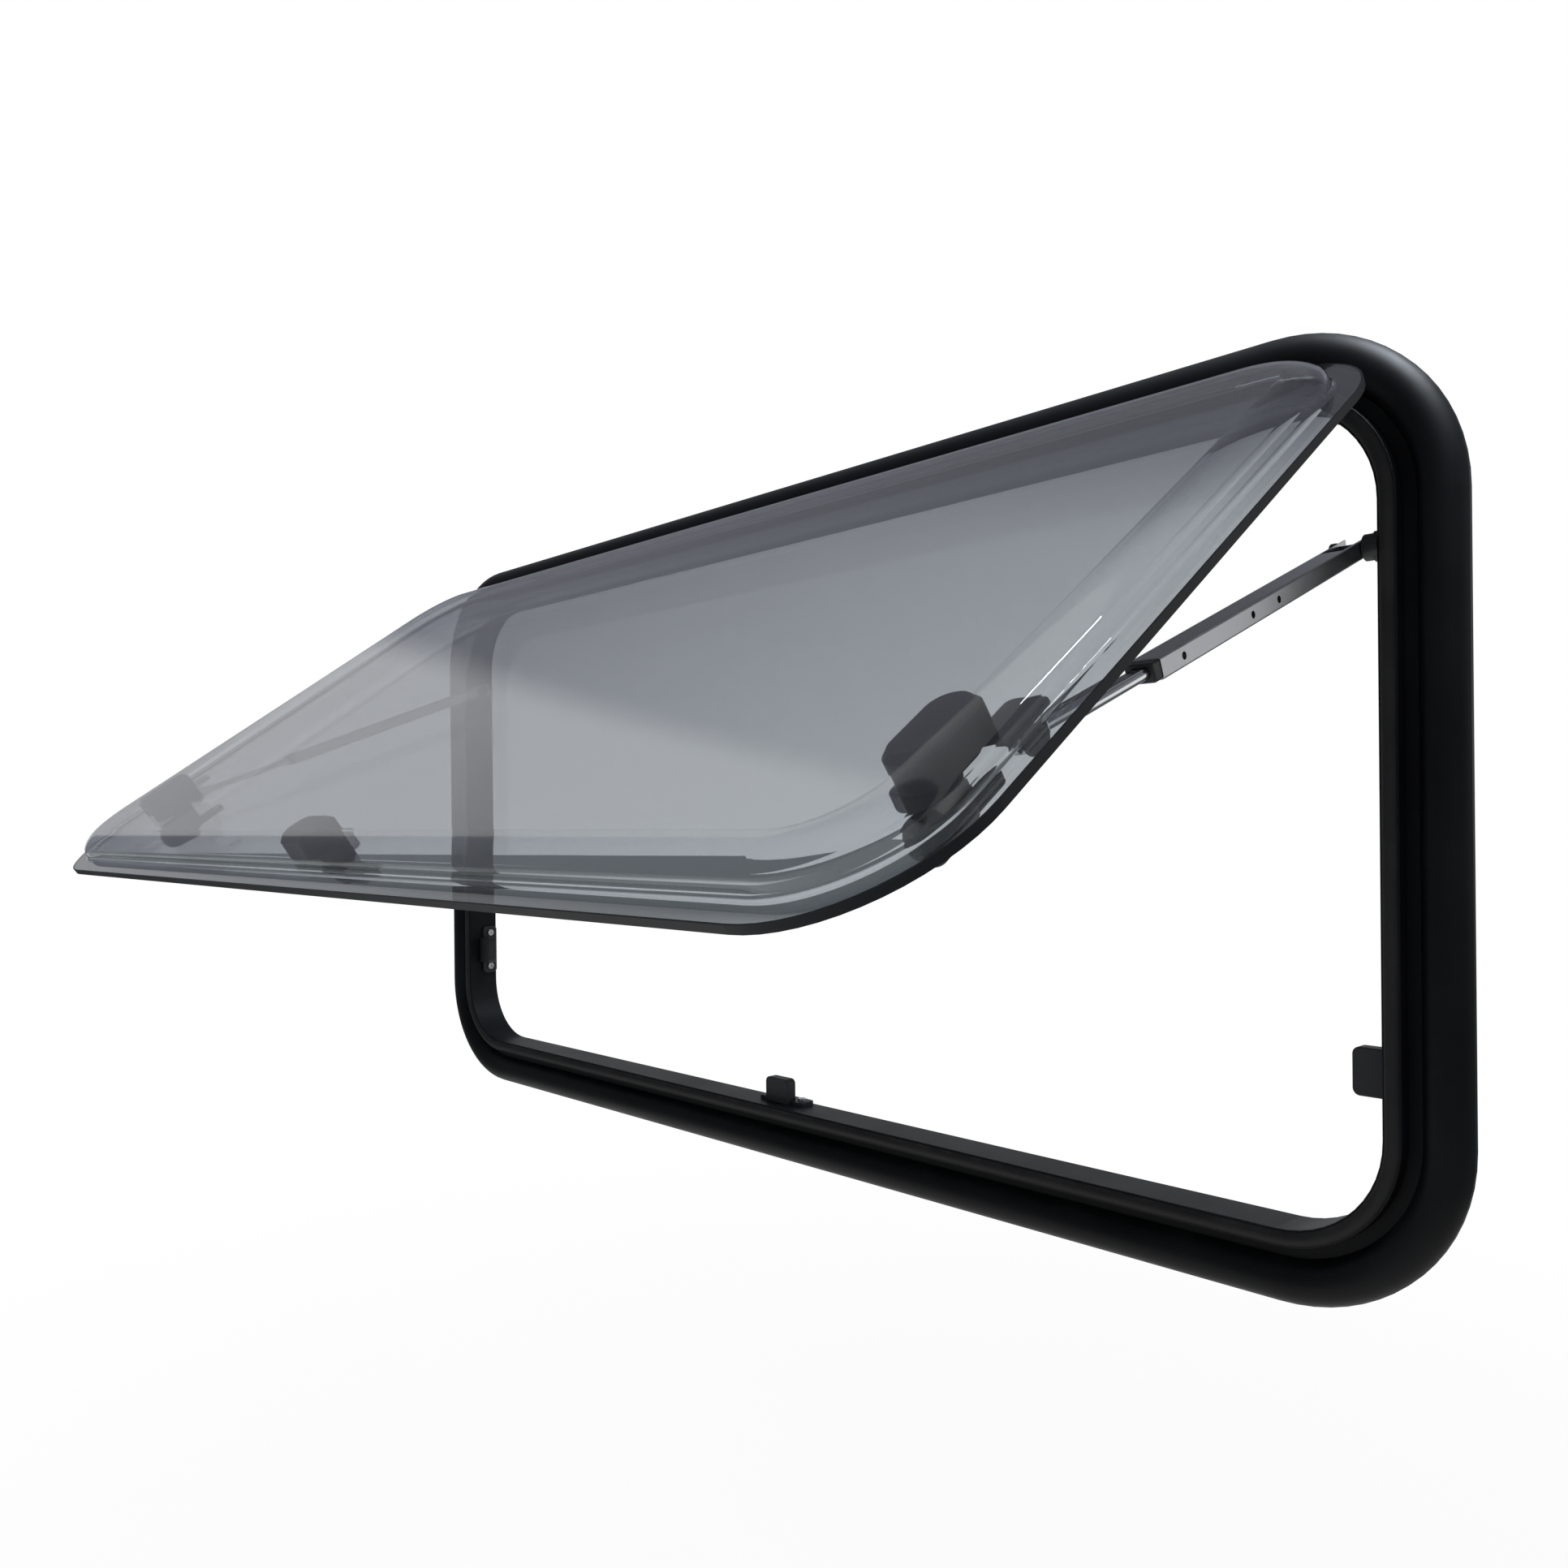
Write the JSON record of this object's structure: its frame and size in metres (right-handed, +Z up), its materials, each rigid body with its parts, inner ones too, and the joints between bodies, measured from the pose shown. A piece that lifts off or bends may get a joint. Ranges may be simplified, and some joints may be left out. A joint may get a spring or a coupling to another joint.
{
  "type": "caravan window",
  "caption": "Top-hung caravan window with a rounded black frame, a smoked double acrylic sash propped open on telescopic stays, and turning latches.",
  "frame": {"origin": "centre of the window on the back of the wall flange, which lies on the outside of the wall", "axes": "+X to the right seen from outside, +Z up, +Y into the caravan"},
  "size_m": [1.04, 0.422, 0.53],
  "materials": {
    "frame_black": "satin black powder coat on aluminium",
    "hinge_black": "satin black anodised aluminium",
    "seal_rubber": "matt black rubber",
    "smoked_acrylic": "polished smoked acrylic",
    "trim_black": "glossy black edge trim",
    "latch_plastic": "moulded black nylon",
    "bracket_black": "moulded black nylon",
    "stay_aluminium": "satin anodised aluminium",
    "rod_steel": "bright plated steel",
    "screw_steel": "zinc plated steel"
  },
  "bodies": {
    "frame": {"outer_frame": "frame_black", "frame_seal": "seal_rubber", "hinge_rail": "hinge_black", "keeper_left": "latch_plastic", "keeper_right": "latch_plastic", "keeper_bottom": "latch_plastic", "keeper_screws_left": "screw_steel", "keeper_screws_right": "screw_steel", "keeper_screws_bottom": "screw_steel", "stay_bracket_left": "bracket_black", "stay_bracket_right": "bracket_black", "stay_bracket_screws_left": "screw_steel", "stay_bracket_screws_right": "screw_steel"},
    "sash": {"outer_pane": "smoked_acrylic", "inner_pane": "smoked_acrylic", "edge_trim": "trim_black", "hinge_leaf": "hinge_black", "latch_pad_left": "latch_plastic", "latch_pad_right": "latch_plastic", "latch_pad_bottom": "latch_plastic", "latch_base_left": "latch_plastic", "latch_base_right": "latch_plastic", "latch_base_bottom": "latch_plastic", "sash_bracket_left": "bracket_black", "sash_bracket_right": "bracket_black"},
    "left_latch": {"latch_handle_left": "latch_plastic"},
    "right_latch": {"latch_handle_right": "latch_plastic"},
    "bottom_latch": {"latch_handle_bottom": "latch_plastic"},
    "left_channel": {"stay_channel_left": "stay_aluminium", "stay_collar_left": "bracket_black"},
    "left_rod": {"stay_rod_left": "rod_steel", "stay_eye_left": "rod_steel"},
    "right_channel": {"stay_channel_right": "stay_aluminium", "stay_collar_right": "bracket_black"},
    "right_rod": {"stay_rod_right": "rod_steel", "stay_eye_right": "rod_steel"}
  },
  "joints": [
    {"name": "sash_hinge", "type": "hinge", "parent": "frame", "child": "sash", "pos_m": [0, -0.0142, 0.238], "axis": [-1, 0, 0], "range_deg": [-54.6, 0]},
    {"name": "left_latch_turn", "type": "hinge", "parent": "sash", "child": "left_latch", "pos_m": [-0.441, -0.31661, 0.02309], "axis": [0, -0.5793, 0.8151], "range_deg": [0, 90]},
    {"name": "right_latch_turn", "type": "hinge", "parent": "sash", "child": "right_latch", "pos_m": [0.441, -0.31661, 0.02309], "axis": [0, 0.5793, -0.8151], "range_deg": [0, 90]},
    {"name": "bottom_latch_turn", "type": "hinge", "parent": "sash", "child": "bottom_latch", "pos_m": [0, -0.35981, -0.00762], "axis": [0, 0.5793, -0.8151], "range_deg": [0, 90]},
    {"name": "left_stay_turn", "type": "hinge", "parent": "frame", "child": "left_channel", "pos_m": [-0.46235, -0.004, 0.142], "axis": [-1, 0, 0], "range_deg": [-68.63, 0.1]},
    {"name": "left_stay_slide", "type": "slide", "parent": "left_channel", "child": "left_rod", "axis": [0, -0.9312, -0.3645], "range_m": [-0.0584, 0.0005]},
    {"name": "right_stay_turn", "type": "hinge", "parent": "frame", "child": "right_channel", "pos_m": [0.46235, -0.004, 0.142], "axis": [-1, 0, 0], "range_deg": [-68.63, 0.1]},
    {"name": "right_stay_slide", "type": "slide", "parent": "right_channel", "child": "right_rod", "axis": [0, -0.9312, -0.3645], "range_m": [-0.0584, 0.0005]}
  ],
  "couplings": [
    {"joint": "left_stay_turn", "follows": "sash_hinge", "ratio": 1.2552},
    {"joint": "left_stay_slide", "follows": "sash_hinge", "m_per_rad": 0.060706},
    {"joint": "right_stay_turn", "follows": "sash_hinge", "ratio": 1.2552},
    {"joint": "right_stay_slide", "follows": "sash_hinge", "m_per_rad": 0.060706}
  ]
}
